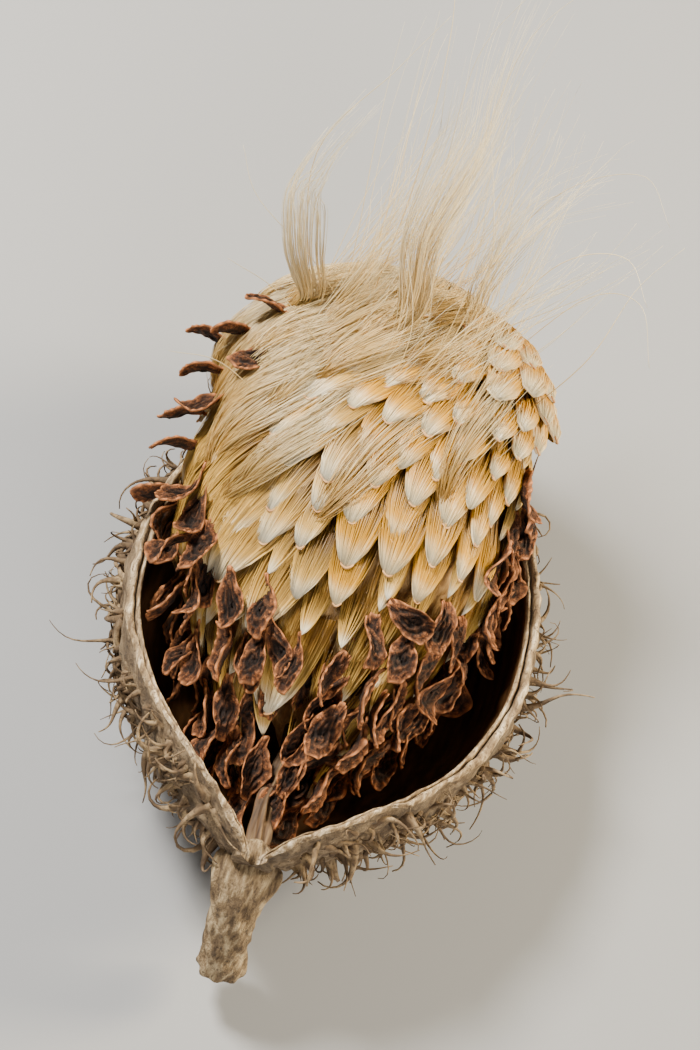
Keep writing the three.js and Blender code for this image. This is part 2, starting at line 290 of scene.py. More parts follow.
def strands(name, paths, radii, material, shades):
    """Silk strands, in as many pieces as keep each one light enough to export whole."""
    each = MOST_FACES // (6 * (paths.shape[1] - 1) + 2)
    parts = -(-len(paths) // each)
    for part in range(parts):
        chosen = slice(part * len(paths) // parts, (part + 1) * len(paths) // parts)
        title = f"{name}_{part + 1}" if parts > 1 else name
        ride(tubes(title, paths[chosen], radii[chosen], 3, [material], shades[chosen]))


def close_ends(piece, rows, columns, flip=False):
    """Closes a grid that joins its last column to its first: a fan over its first row and one
    over its last, about the piece's two last points."""
    mesh = bmesh.new()
    mesh.from_mesh(piece.data)
    mesh.verts.ensure_lookup_table()
    for row, hub in ((0, rows * columns), (rows - 1, rows * columns + 1)):
        for j in range(columns):
            edge = [row * columns + j, row * columns + (j + 1) % columns]
            if flip == (row == 0):
                edge.reverse()
            mesh.faces.new([mesh.verts[corner] for corner in (*edge, hub)])
    mesh.to_mesh(piece.data)
    mesh.free()


def walked(start, headings, lengths):
    """Paths of the given lengths from their starts; headings is (paths, steps, 3)."""
    paces = headings * (lengths / (headings.shape[1] - 1)).reshape(-1, 1, 1)
    paces[:, 0] = 0
    return start[:, None] + np.cumsum(paces, axis=1)


def clumped(chance, clump, clumps):
    """A function that draws a number for each strand, near the one its clump shares."""

    def shared(low, high, loose):
        base = chance.uniform(low, high, clumps)
        return base[clump] + chance.uniform(-loose / 2, loose / 2, len(clump))

    return shared


def ride(piece, *nodes):
    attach(piece, "root")
    if nodes:
        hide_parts(*nodes)
    return piece


# ---- materials ----

SHADES = 64  # how many different tones the strands are drawn from
MOST_FACES = 190000  # in one piece


class Nodes:
    """A short way to write a material's nodes."""

    def __init__(self, name, roughness=0.6, **sockets):
        self.material = bpy.data.materials.new(name)
        self.material.use_nodes = True
        self.tree = self.material.node_tree
        self.shader = self.tree.nodes["Principled BSDF"]
        self.set("Roughness", roughness)
        for socket, value in sockets.items():
            self.set(socket.replace("_", " "), value)

    def feed(self, socket, value):
        """Links an output to a socket, or sets its value or colour."""
        if isinstance(value, bpy.types.NodeSocket):
            self.tree.links.new(value, socket)
        elif isinstance(value, tuple) and socket.type == "RGBA":
            socket.default_value = (*value, 1)
        else:
            socket.default_value = value

    def set(self, socket, value):
        self.feed(self.shader.inputs[socket], value)

    def add(self, kind, output=0, options=None, **inputs):
        """A node's output. Inputs go by name, or by number after an underscore."""
        node = self.tree.nodes.new("ShaderNode" + kind)
        for key, value in (options or {}).items():
            setattr(node, key, value)
        for key, value in inputs.items():
            self.feed(node.inputs[int(key[1:]) if key[0] == "_" else key], value)
        return node.outputs[output]

    def noise(self, stretch, scale, detail=3.0, roughness=0.55, distortion=0.0):
        """Noise over the object, its features squeezed by stretch along each axis."""
        spot = self.add("TexCoord", "Object")
        factors = tuple(s / MM for s in stretch)
        where = self.add("VectorMath", options={"operation": "MULTIPLY"}, _0=spot, _1=factors)
        return self.add("TexNoise", "Fac", Vector=where, Scale=scale, Detail=detail,
                        Roughness=roughness, Distortion=distortion)

    def attribute(self, name):
        return self.add("Attribute", "Fac", options={"attribute_name": name})

    def ramp(self, value, *stops):
        """A ramp through stops, each a position with a colour or a shade of grey."""
        node = self.tree.nodes.new("ShaderNodeValToRGB")
        self.tree.links.new(value, node.inputs[0])
        elements = node.color_ramp.elements
        while len(elements) < len(stops):
            elements.new(0.5)
        for element, (position, colour) in zip(elements, stops):
            element.position = position
            element.color = (*colour, 1) if isinstance(colour, tuple) else (colour,) * 3 + (1,)
        return node.outputs[0]

    def mix(self, factor, a, b, blend="MIX"):
        return self.add("Mix", 2, {"data_type": "RGBA", "blend_type": blend}, _0=factor, _6=a, _7=b)

    def maths(self, operation, a, b=0.0):
        return self.add("Math", options={"operation": operation}, _0=a, _1=b)

    def bump(self, height, strength, distance):
        self.set("Normal", self.add("Bump", Height=height, Strength=strength,
                                    Distance=distance * MM))


def silk_material(name, root, middle, tip):
    """Silk: three colours along each strand, from its root to its end, and a tone of its own, read
    from its map. The darkest of the three is painted shade where strands lie deep among others.
    """
    n = Nodes(name, roughness=0.38, Specular_IOR_Level=0.42)
    split = n.tree.nodes.new("ShaderNodeSeparateXYZ")
    n.tree.links.new(n.add("UVMap", options={"uv_map": "OFBake"}), split.inputs[0])
    tone = n.add("TexWhiteNoise", "Value", options={"noise_dimensions": "1D"},
                 W=n.maths("FLOOR", n.maths("MULTIPLY", split.outputs[0], SHADES)))
    colour = n.ramp(split.outputs[1], (0.0, root), (0.07, root), (0.27, middle), (0.7, tip))
    n.set("Base Color", n.mix(1.0, colour, n.ramp(tone, (0, 0.62), (1, 1.0)), "MULTIPLY"))
    return n.material


EVEN = (1, 1, 1)  # noise that is not squeezed


def dry_material(name, roughness, grain, tones, spots=(), mark=None, bump=None, **sockets):
    """A dry skin. Its tones follow the noise grain. Each of spots is one more noise, with a
    ramp and a colour where it shows. mark is a mesh attribute and its colour. bump is a
    strength, a distance in millimetres, and the share that each noise has in the height."""
    n = Nodes(name, roughness, **sockets)
    noises = [n.noise(*grain)]
    colour = n.ramp(noises[0], *tones)
    for noise, *paint in spots:
        noises.append(n.noise(*noise))
        if paint:
            colour = n.mix(n.ramp(noises[-1], *paint[0]), colour, paint[1])
    if mark:
        colour = n.mix(n.attribute(mark[0]), colour, mark[1])
    n.set("Base Color", colour)
    if bump:
        strength, distance, *shares = bump
        parts = [n.maths("MULTIPLY", noise, share) for noise, share in zip(noises, shares) if share]
        height = parts[0] if len(parts) == 1 else n.maths("ADD", *parts)
        n.bump(height, strength, distance)
    return n.material


def husk_outer_material():
    fibres = ((2.6, 0.3, 2.6), 1.0, 4, 0.7)
    return dry_material(
        "husk_outside", 0.93, ((0.9, 0.16, 0.9), 1.0, 6, 0.65),
        [(0.28, (0.050, 0.028, 0.013)), (0.47, (0.145, 0.092, 0.046)), (0.62, (0.33, 0.23, 0.125))],
        spots=[((EVEN, 0.13, 3), [(0.4, 0.0), (0.65, 0.6)], (0.11, 0.078, 0.047)),
               (((1, 0.5, 1), 1.9, 4, 0.75), [(0.36, 0.9), (0.44, 0.0)], (0.055, 0.038, 0.026)),
               (fibres,)],
        bump=(0.8, 0.5, 0.8, 0, 0, 1))


def husk_rim_material():
    return dry_material(
        "husk_rim", 0.8, ((1.2, 0.3, 1.2), 1.0, 5, 0.7),
        [(0.34, (0.12, 0.068, 0.029)), (0.5, (0.32, 0.215, 0.108)), (0.66, (0.76, 0.60, 0.39))],
        spots=[((EVEN, 1.6, 3, 0.7), [(0.36, 0.85), (0.46, 0.0)], (0.075, 0.042, 0.022))],
        # The groove between the rim's layers is darkened to near black: painted shade.
        mark=("painted_groove_shade", (0.06, 0.035, 0.02)), bump=(0.7, 0.35, 1))


def husk_inner_material():
    return dry_material(
        "husk_inside", 0.34, ((0.8, 0.1, 0.8), 1.0, 4),
        [(0.3, (0.040, 0.017, 0.006)), (0.7, (0.19, 0.085, 0.03))],
        # The inside's dark brown, paled towards the rims by the edge mark, is painted shade in the
        # cavity.
        mark=("edge", (0.30, 0.18, 0.085)), bump=(0.35, 0.3, 1), Coat_Weight=0.25,
        Coat_Roughness=0.3)


def spine_material():
    return dry_material(
        "husk_spines", 0.9, (EVEN, 0.45, 2),
        [(0.3, (0.055, 0.030, 0.013)), (0.5, (0.15, 0.092, 0.044)), (0.68, (0.33, 0.225, 0.115))],
        spots=[((EVEN, 2.4, 4, 0.7), [(0.36, 0.8), (0.48, 0.0)], (0.045, 0.028, 0.016))],
        bump=(0.5, 0.2, 0, 1))


def stem_material():
    return dry_material(
        "stem_bark", 0.85, ((1.1, 0.22, 0.5), 1.0, 5, 0.65),
        [(0.36, (0.070, 0.040, 0.017)), (0.5, (0.23, 0.15, 0.072)), (0.64, (0.50, 0.37, 0.205))],
        spots=[(((1, 0.6, 0.6), 1.5, 4, 0.75), [(0.36, 0.85), (0.44, 0.0)], (0.07, 0.045, 0.025))],
        bump=(1.0, 0.6, 1, 1))


def placenta_material():
    # Dark so that the column sinks into the cavity's shade: its colour is painted shade.
    return dry_material(
        "placenta_paper", 0.75, ((1.6, 0.15, 1.2), 1.0, 4),
        [(0.3, (0.035, 0.017, 0.006)), (0.5, (0.10, 0.052, 0.02)), (0.7, (0.21, 0.13, 0.055))],
        bump=(0.6, 0.4, 1))


def seed_material():
    """A dark wrinkled kernel in a copper wing, with a paler edge that is a painted highlight, and
    painted shade and highlight that follow the relief.
    """
    n = Nodes("seed_coat", roughness=0.7, Specular_IOR_Level=0.35)
    wing, edge, relief = (n.attribute(name) for name in ("wing", "rim", "relief"))
    wrinkles = n.noise((0.8, 0.8, 0.8), 2.3, 5, 0.7, 1.2)
    grain = n.noise(EVEN, 6.0, 3, 0.7)
    kernel = n.ramp(wrinkles, (0.38, (0.012, 0.0045, 0.0015)), (0.54, (0.062, 0.023, 0.008)),
                    (0.70, (0.17, 0.062, 0.022)))
    copper = n.ramp(wrinkles, (0.36, (0.034, 0.011, 0.004)), (0.52, (0.12, 0.039, 0.012)),
                    (0.70, (0.42, 0.150, 0.046)))
    colour = n.mix(wing, kernel, copper)
    # The paler colour round the rim is a painted highlight on the seed's edge.
    colour = n.mix(n.maths("MULTIPLY", edge, 0.7), colour, (0.62, 0.235, 0.082))
    # Painted shade in the dish and the hollows of the folds, crimps and wrinkles, and painted
    # highlight on their crests, from the relief mark.
    painted_relief_shade = n.ramp(relief, (0.18, 0.22), (0.5, 0.8), (0.85, 2.0))
    colour = n.mix(1.0, colour, painted_relief_shade, "MULTIPLY")
    colour = n.mix(n.ramp(grain, (0.64, 0.0), (0.80, 0.18)), colour, (0.30, 0.15, 0.07))
    n.set("Base Color", colour)
    height = n.maths("ADD", wrinkles, n.maths("MULTIPLY", grain, 0.4))
    n.bump(n.maths("ADD", height, relief), 1.0, 0.4)
    return n.material


def silk_bed_material():
    return dry_material("silk_bed", 0.6, ((1.5, 0.15, 1.5), 1.0, 4),
                        [(0.3, (0.30, 0.15, 0.04)), (0.7, (0.60, 0.36, 0.13))], bump=(0.6, 0.5, 1))


def scar_material():
    return dry_material("silk_scar", 0.6, (EVEN, 1.3, 2),
                        [(0.3, (0.42, 0.19, 0.06)), (0.7, (0.72, 0.42, 0.18))])


def floor_material():
    return dry_material("studio_floor", 0.75, (EVEN, 0.004, 2),
                        [(0.3, (0.285, 0.285, 0.290)), (0.7, (0.305, 0.305, 0.310))])


# Packed and left silk darken to near black towards each strand's end, which sinks under the next
# row: painted shade. Loose silk is dark at its root, down on the dome under the strands over it:
# painted shade.
SILK_PACKED = silk_material("silk_packed", (1.0, 0.85, 0.54), (0.84, 0.43, 0.026),
                            (0.12, 0.05, 0.003))
SILK_LEFT = silk_material("silk_left", (1.0, 0.90, 0.66), (0.82, 0.51, 0.12),
                          (0.26, 0.125, 0.015))
SILK_LOOSE = silk_material("silk_loose", (0.50, 0.27, 0.05), (0.78, 0.53, 0.19),
                           (0.94, 0.78, 0.48))
SEED_COAT = seed_material()

# ---- husk ----


def ripple(points, scale, seed):
    """Smooth repeatable unevenness, from -1 to 1, from a few crossed waves."""
    chance = np.random.default_rng(seed)
    total = np.zeros(points.shape[:-1])
    for _ in range(7):
        direction = chance.normal(size=3)
        direction *= (0.6 + 0.9 * chance.random()) * 2 * pi / scale / np.linalg.norm(direction)
        total += np.sin(points @ direction + chance.random() * 2 * pi)
    return total / 3.5


def rim_section():
    """The rim's section, from outside in: where each point stands across it, how far it
    stands up, and how deep it is in the groove between the outer and the inner layer, where
    the rim's colour is darkened as painted shade."""
    rim_count = 15
    across = (np.arange(rim_count) + 1) / (rim_count + 1)
    profile = 0.75 * np.sin(pi * np.clip(across / 0.58, 0, 1)) ** 0.6
    profile += 0.5 * np.sin(pi * np.clip((across - 0.66) / 0.34, 0, 1)) ** 0.7
    profile -= 0.35 * np.exp(-(((across - 0.62) / 0.06) ** 2))
    return across, profile, np.exp(-(((across - 0.62) / 0.075) ** 2))


def husk_rim(t, outside, inside, side):
    """The rim on one side, between the edges of the wall's outside and inside."""
    across, profile, _ = rim_section()
    line = lerp(outside[:, None], inside[:, None], across[None, :, None])
    up = unit(husk_point(t, side) - husk_point(t, side * 0.97))[:, None]
    wobble = 1 + 0.35 * ripple(line * [1, 0.6, 1], 5.0, 4)
    fade = (husk_wall(t) / HUSK_WALL * smoothstep(t, 0.004, 0.035))[:, None, None]
    line = line + up * (profile[None] * wobble)[..., None] * fade
    return line + np.array([0, 0.15, 0]) * ripple(line, 2.4, 5)[..., None]


def husk_surfaces(t, v_outer, v_inner):
    """The wall's rough outside, with a smooth belly flat, and its smoother inside."""
    outer, inner = husk_point(t, v_outer), husk_point(t, v_inner, husk_wall(t))
    flat = BELLY_FLAT - HUSK_DEPTH
    rough = 0.28 * ripple(outer * [1, 0.45, 1], 5.0, 1) + 0.16 * ripple(outer, 1.7, 2)
    rough *= smoothstep(outer[..., 2], flat + 0.1, flat + 2)
    inner_rough = 0.10 * ripple(inner * [1, 0.3, 1], 4.0, 3)
    t = np.clip(t, 0.012, 0.988)
    return (outer + husk_normal(t, v_outer) * rough[..., None],
            inner + husk_normal(t, v_inner) * inner_rough[..., None])


def husk_shell():
    stations, outer_count, inner_count = 190, 170, 110
    share = 0.5 - 0.5 * np.cos(pi * np.arange(stations) / (stations - 1))
    t = END_SHARE + (1 - 2 * END_SHARE) * share
    v_outer, v_inner = np.linspace(-1, 1, outer_count), np.linspace(1, -1, inner_count)
    outer, inner = husk_surfaces(t[:, None], v_outer[None], v_inner[None])
    right = husk_rim(t, outer[:, -1], inner[:, 0], 1.0)
    left = husk_rim(t, outer[:, 0], inner[:, -1], -1.0)[:, ::-1]
    loop = np.concatenate([outer, right, inner, left], 1)
    columns = loop.shape[1]
    points = np.vstack([loop.reshape(-1, 3), loop[0].mean(0), loop[-1].mean(0)])
    piece = new_piece("husk_shell", points, grid_faces(stations, columns, closed=True, flip=True),
                      [husk_outer_material(), husk_rim_material(), husk_inner_material()])
    # The groove mark paints shade into the rim's groove.
    _, _, painted_groove_shade = rim_section()
    between = len(painted_groove_shade) + 1  # faces across a rim
    kind = np.repeat([0, 1, 2, 1], [outer_count - 1, between, inner_count - 1, between])
    piece.data.polygons.foreach_set("material_index", np.tile(kind, stations - 1).astype(np.int32))
    # The edge mark pales the inside towards the rims, out of the painted shade of the cavity.
    none, edge = 0 * painted_groove_shade, smoothstep(np.abs(v_inner), 0.93, 1.0)
    marks = {"painted_groove_shade": [0 * v_outer, painted_groove_shade, 0 * v_inner, painted_groove_shade[::-1]],
             "edge": [0 * v_outer, none, edge, none]}
    for name, parts in marks.items():
        set_attribute(piece, name, np.append(np.tile(np.concatenate(parts), stations), [0, 0]))
    close_ends(piece, stations, columns)
    return ride(piece, "husk")


def clear_of_husk(path):
    """Which paths keep out of the husk's cavity and don't curl in over a rim."""
    x, z = np.abs(path[..., 0]), path[..., 2]
    t = np.clip(path[..., 1] / HUSK_LENGTH, 0, 1)
    over_rim = (x < husk_width(t) * np.sin(np.minimum(wall_angle(t), pi))) & (z > sheer(t))
    drop = np.clip((sheer(t) - z) / (husk_depth(t) - HUSK_WALL), -1, 1)
    in_cavity = (x < (husk_width(t) - HUSK_WALL) * np.sqrt(1 - drop**2)) & (drop > -0.1)
    return ~np.any(in_cavity | over_rim, axis=1)


def husk_spines():
    """Soft curled filaments all over the outside: most short, some long and tangled."""
    chance = np.random.default_rng(5)
    tries, steps, sides = 1900, 11, 4
    t = 0.03 + 0.93 * chance.random(tries) ** 0.95
    v = np.sign(chance.random(tries) - 0.5) * (0.28 + 0.67 * chance.random(tries) ** 0.75)
    keep = chance.random(tries) < 0.35 + 0.65 * fullness(t)
    t, v = t[keep], v[keep]

    def draw(low, high):
        return chance.uniform(low, high, (len(t), 1))

    out = husk_normal(t, v)
    long = draw(0, 1) ** 3.0
    length = draw(3.0, 5.5) + 6.5 * long
    # The tangent plane: a random heading in it, and a curl that grows along the spine.
    along = unit(husk_point(t + 0.01, v) - husk_point(t - 0.01, v))
    heading = draw(0, 2 * pi)
    lean = along * np.cos(heading) + np.cross(out, along) * np.sin(heading)
    aside = np.cross(out, lean)
    first, bend = draw(radians(10), radians(65)), draw(radians(20), radians(170))
    twist = draw(-0.5, 0.5) * (2.0 + 5.0 * long)
    kink, phase = draw(0, 0.9), draw(0, 2 * pi)
    share = np.linspace(0, 1, steps)[None]
    angle = (first + bend * share**1.3 + kink * np.sin(5 * share + phase))[..., None]
    swing = (twist * share**1.5)[..., None]
    bent = lean[:, None] * np.cos(swing) + aside[:, None] * np.sin(swing)
    headings = out[:, None] * np.cos(angle) + bent * np.sin(angle)
    path = walked(husk_point(t, v) - 0.4 * out, headings, length)
    width = 0.15 + 0.19 * draw(0, 1) ** 1.6
    radii = width * (2.1 * (1 - share) ** 3 + 1.0 - 0.7 * share)
    # Nothing hangs below the surface that the pod lies on.
    path[..., 2] = np.maximum(path[..., 2], BELLY_FLAT - HUSK_DEPTH + 1.05 * radii)
    clear = clear_of_husk(path)
    return ride(tubes("husk_spines", path[clear], radii[clear], sides, [spine_material()]))


# ---- stem and placenta ----


def through(points, steps):
    """Points along a smooth curve through the ones given."""
    points = np.asarray(points, float)
    padded = np.vstack([2 * points[0] - points[1], points, 2 * points[-1] - points[-2]])
    position = np.linspace(0, len(points) - 1, steps)
    i = np.minimum(position.astype(int), len(points) - 2)
    f = (position - i)[:, None]
    a, b, c, d = (padded[i + k] for k in range(4))
    return 0.5 * (2 * b + (c - a) * f + (2 * a - 5 * b + 4 * c - d) * f**2
                  + (3 * b - a - 3 * c + d) * f**3)


def ribbed_tube(name, material, route, radius_at, sides, steps, ribs, depth, seed):
    """A rough tube along a route, ribbed lengthwise, with closed ends."""
    path = through(route, steps)
    tangent = unit(np.gradient(path, axis=0))
    side = unit(np.cross(tangent, [0, 0.3, 1.0]))
    lift = np.cross(side, tangent)
    turn = 2 * pi * np.arange(sides) / sides
    radius = radius_at(np.linspace(0, 1, steps))[:, None] * (1 + depth * np.sin(ribs * turn)[None])
    ring = side[:, None] * np.cos(turn)[:, None] + lift[:, None] * np.sin(turn)[:, None]
    points = path[:, None] + ring * radius[..., None]
    points += ring * (0.22 * ripple(points * [1, 0.4, 0.6], 2.6, seed))[..., None]
    points = np.vstack([points.reshape(-1, 3), path[0], path[-1]])
    faces = grid_faces(steps, sides, closed=True, flip=True)
    piece = new_piece(name, points, faces, [material])
    close_ends(piece, steps, sides)
    return piece


def stem_stalk():
    """The stub of stem, thickest where the husk's stem end grows out of it."""
    route = [(0, 4.2, -5.2), (0, 0.6, -3.4), (0, -2.6, -4.8), (0.6, -5.2, -9), (1.4, -7.2, -15)]

    def radius_at(share):
        shoulder = 4.3 * smoothstep(share, -0.2, 0.2)
        return shoulder - 1.4 * smoothstep(share, 0.22, 0.6) + 0.3 * smoothstep(share, 0.88, 1)

    piece = ribbed_tube("stem_stalk", stem_material(), route, radius_at, sides=48,
                        steps=80, ribs=9, depth=0.045, seed=9)
    return ride(piece, "stem")


def placenta_column():
    """The papery column that the seeds sat round."""
    route = [(0.1, 4.5, -2.6), (-0.4, 10, -3.0), (0.3, 17, -3.4), (-0.2, 24, -3.2), (0, 31, -1.5)]
    piece = ribbed_tube("placenta_column", placenta_material(), route,
                        lambda share: 1.25 - 0.5 * share, sides=36, steps=90, ribs=5, depth=0.28,
                        seed=11)
    return ride(piece, "placenta")


# ---- seeds ----

SEED_LENGTH = 7.8
SEED_NODES = sorted(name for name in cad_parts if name.startswith("seed_"))


def cad_points(node):
    """A CAD node's points, their middle, and their own axes, the longest first."""
    points = np.zeros(len(node.data.vertices) * 3, np.float32)
    node.data.vertices.foreach_get("co", points)
    points = points.reshape(-1, 3).astype(float) / MM - SHIFT
    middle = points.mean(0)
    return points, middle, np.linalg.svd(points - middle, full_matrices=False)[2]


def seed_axes(node):
    """Where a CAD seed lies: its silk end, and its length and face directions."""
    points, middle, (length, width, face) = cad_points(node)
    along = (points - middle) @ length
    past_middle = along > (along.max() + along.min()) / 2
    spread = np.abs((points - middle) @ width)
    if spread[past_middle].mean() < spread[~past_middle].mean():  # the silk end is narrower
        length, along = -length, -along
    if face @ (middle - [BED_LEAN, middle[1] + 4.0, -2.0]) < 0:
        face = -face
    return middle + length * along.min(), length, face


def node_middle(name):
    low, high = (np.array(corner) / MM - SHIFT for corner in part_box(name))
    return (low + high) / 2


def seed_outline(chance, angle):
    """A seed's outline, drawn out to a blunt tip at its silk end and round at the other: its
    length, its half width, and x and y round it, which runs by angle."""
    span = SEED_LENGTH * chance.uniform(0.95, 1.07)
    half = 1.85 * chance.uniform(0.78, 1.18)
    lengthwise = 0.5 * (1 - np.cos(angle))  # 0 at the silk end, 1 at the round end
    most = chance.uniform(1.15, 1.50)
    wide = 0.22 + 0.78 * np.abs(np.sin(pi * lengthwise**most)) ** (0.95 - 0.55 * lengthwise)
    side = np.sign(np.sin(angle)) * np.abs(np.sin(angle)) ** 0.15
    return span, half, span * lengthwise, half * side * wide


def seed_shape(chance):
    """A flat winged seed about its own axes: points, faces, and marks for its material."""
    rings, around = 18, 72
    angle = 2 * pi * np.arange(around) / around
    span, half, edge_x, edge_y = seed_outline(chance, angle)
    phase = chance.uniform(0, 2 * pi, 8)
    crimp = 1 + 0.06 * np.sin(4 * angle + phase[0]) + 0.035 * np.sin(9 * angle + phase[1])
    centre = 0.57 * span
    r = ((np.arange(rings) / (rings - 1)) ** 0.85)[:, None]  # 0 at the centre, 1 at the rim
    x = centre + r * (edge_x - centre) * crimp
    y = r * edge_y * crimp
    # A thick kernel with a dished middle, a thin wing, and a rounded bead for a rim.
    kernel = np.sqrt(np.maximum(0, 1 - (r / 0.70) ** 2))
    body = 0.13 + 0.40 * kernel + 0.20 * np.exp(-(((r - 0.94) / 0.07) ** 2))
    dish = 0.50 * np.exp(-((r / 0.36) ** 2)) * (0.6 + 0.4 * np.sin(2 * angle + phase[6]))
    folds = 0.17 * np.sin(17 * r + 2.5 * np.sin(2 * angle + phase[7]))
    folds = folds * smoothstep(r, 0.12, 0.3) * (1 - smoothstep(r, 0.6, 0.78))
    crimps = np.sin(15 * angle + 2 * np.sin(3 * angle + phase[0]) + phase[2])
    crimps = 0.075 * crimps * smoothstep(r, 0.45, 0.9)
    spots = np.stack([x, y, 0 * x], -1) + 40 * phase[3]
    wrinkle = 0.15 * ripple(spots, 1.2, 21) * smoothstep(1 - r, 0.02, 0.25)
    ridge = 0.14 * np.exp(-((y / 0.28) ** 2)) * smoothstep(r, 0.1, 0.5) * (x < centre)
    # The whole seed waves: its edges lift, its length curls, and it may fold like a boat.
    wave = chance.uniform(0.30, 0.75) * np.sin(2 * angle + phase[4]) * r**2
    wave = wave + 0.24 * np.sin(3 * angle + phase[5]) * r**3
    curl = chance.uniform(-0.84, 1.56) * ((x - centre) / span * 2) ** 2
    bow = chance.uniform(-0.75, 0.75) * np.sin(2 * pi * x / span)
    cup = chance.uniform(-0.3, 1.2) * (y / half) ** 2
    sheet = wave + curl + bow + cup
    top = sheet + 0.5 * body - dish + folds + crimps + wrinkle + ridge
    under = np.minimum(sheet - 0.5 * body + 0.9 * crimps - 0.5 * wrinkle, top - 0.10)
    points = np.vstack([np.stack([x, y, z], -1).reshape(-1, 3) for z in (top, under)])
    # relief: how high the folds, crimps, wrinkles and ridge stand, less the dish; the material
    # bumps the seed with it and paints shade and highlight from it.
    relief = np.clip(0.5 + 1.6 * (folds + 1.6 * crimps + 1.3 * wrinkle + ridge - 0.5 * dish), 0, 1)
    # The rim mark is where the material paints a paler edge as a highlight.
    marks = {"wing": smoothstep(r, 0.56, 0.80), "rim": smoothstep(r, 0.84, 0.98), "relief": relief}
    for name, mark in marks.items():
        marks[name] = np.tile(np.broadcast_to(mark, x.shape).ravel(), 2)
    faces = [grid_faces(rings, around, closed=True),
             grid_faces(rings, around, closed=True, start=x.size, flip=True)]
    j = (rings - 1) * around + np.arange(around)
    k = (rings - 1) * around + (np.arange(around) + 1) % around
    faces.append(np.stack([x.size + j, x.size + k, k, j], -1))
    return points, np.vstack(faces), marks


def placed_seed(chance, silk_end, length, face, roll):
    """A seed that starts at its silk end, rolled about its length: points, faces and marks."""
    width = np.cross(face, length)
    face, width = face * cos(roll) + width * sin(roll), width * cos(roll) - face * sin(roll)
    points, faces, marks = seed_shape(chance)
    return silk_end + points @ np.array([length, width, face]), faces, marks


def seed_piece(name, parts):
    """One piece from seeds that placed_seed made."""
    starts = np.cumsum([0] + [len(points) for points, _, _ in parts])
    faces = np.vstack([faces + start for (_, faces, _), start in zip(parts, starts)])
    piece = new_piece(name, np.vstack([points for points, _, _ in parts]), faces,
                      [SEED_COAT])
    for key in ("wing", "rim", "relief"):
        set_attribute(piece, key, np.concatenate([marks[key] for _, _, marks in parts]))
    mesh = bmesh.new()
    mesh.from_mesh(piece.data)
    bmesh.ops.remove_doubles(mesh, verts=mesh.verts, dist=0.004 * MM)
    bmesh.ops.recalc_face_normals(mesh, faces=mesh.faces)
    mesh.to_mesh(piece.data)
    mesh.free()
    return piece


def cad_seeds():
    """Each CAD seed in detail, and the silk ends that their tufts start from."""
    chance = np.random.default_rng(40)
    ends = []
    for name in SEED_NODES:
        silk_end, length, face = seed_axes(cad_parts[name])
        low = 1 - smoothstep(silk_end[1], 22, 38)
        roll = radians(95 * low * chance.uniform(-0.5, 0.5))
        part = placed_seed(chance, silk_end, length, face, roll)
        ride(seed_piece(name.replace("seed_", "winged_seed_"), [part]), name)
        ends.append((silk_end, *bed_place(silk_end)))
    return ends


# Where more seeds lie than the CAD has. After how many come the least and the greatest share
# of the bed's length, degrees round it, millimetres off it, and degrees of flare, roll and
# swing.
MORE_SEEDS = {
    "winged_seeds_low": (34, (0.03, 0.31), (-88, 88), (-2.6, 1.0), (8, 30), (-68, 68), (-22, 22)),
    "winged_seeds_right": (17, (0.22, 0.70), (72, 99), (0.2, 1.5), (4, 20), (-72, 10), (-16, 8)),
    "winged_seeds_left": (15, (0.12, 0.50), (-99, -62), (0.0, 1.2), (12, 55), (-45, 45),
                          (-18, 10)),
}
SEED_SPACING = 2.7  # between the middles of seeds, at least


def more_seeds(name, seed_ends, taken):
    """Seeds in the gaps between and behind the CAD's, as one piece."""
    wanted, *limits = MORE_SEEDS[name]
    chance = np.random.default_rng(44 + wanted)
    parts = []
    while len(parts) < wanted:
        s, turn, height, flare, roll, swing = (
            lerp(low, high, chance.random()) for low, high in limits)
        if s < 0.24 and abs(turn + 14) < 13:  # the seeds stand apart over the placenta
            continue
        turn, flare, roll, swing = (radians(angle) for angle in (turn, flare, roll, swing))
        along, out, across = (v[0] for v in bed_frame(np.array([s]), np.array([turn])))
        silk_end = bed_point(s, turn, height)
        flat = -along * cos(swing) + across * sin(swing)
        length = flat * cos(flare) + out * sin(flare)
        face = -flat * sin(flare) + out * cos(flare)
        middle = silk_end + length * SEED_LENGTH / 2
        apart = min(np.linalg.norm(middle - other) for other in taken)
        far_end = silk_end + length * SEED_LENGTH
        if apart < SEED_SPACING or not (inside_husk(middle) and inside_husk(far_end)):
            continue
        taken.append(middle)
        parts.append(placed_seed(chance, silk_end, length, face, roll))
        seed_ends.append((silk_end, s, turn))
    return ride(seed_piece(name, parts))


def inside_husk(point, clearance=1.2):
    """Whether a point is in the husk's cavity, or clear above its rims."""
    x, y, z = point
    t = y / HUSK_LENGTH
    if z > sheer(t) + 3:
        return True
    width = husk_width(t) - HUSK_WALL - clearance
    depth = husk_depth(t) - HUSK_WALL - clearance
    if t < 0.03 or width <= 0 or depth <= 0:
        return False
    drop = max((sheer(t) - z) / depth, 0.0)
    return abs(x) / width < np.sqrt(max(0.0, 1 - drop**2))


# ---- silk ----

HIGHEST_Y, HIGHEST_Z = 107.5, 57.0  # no hair reaches further than this


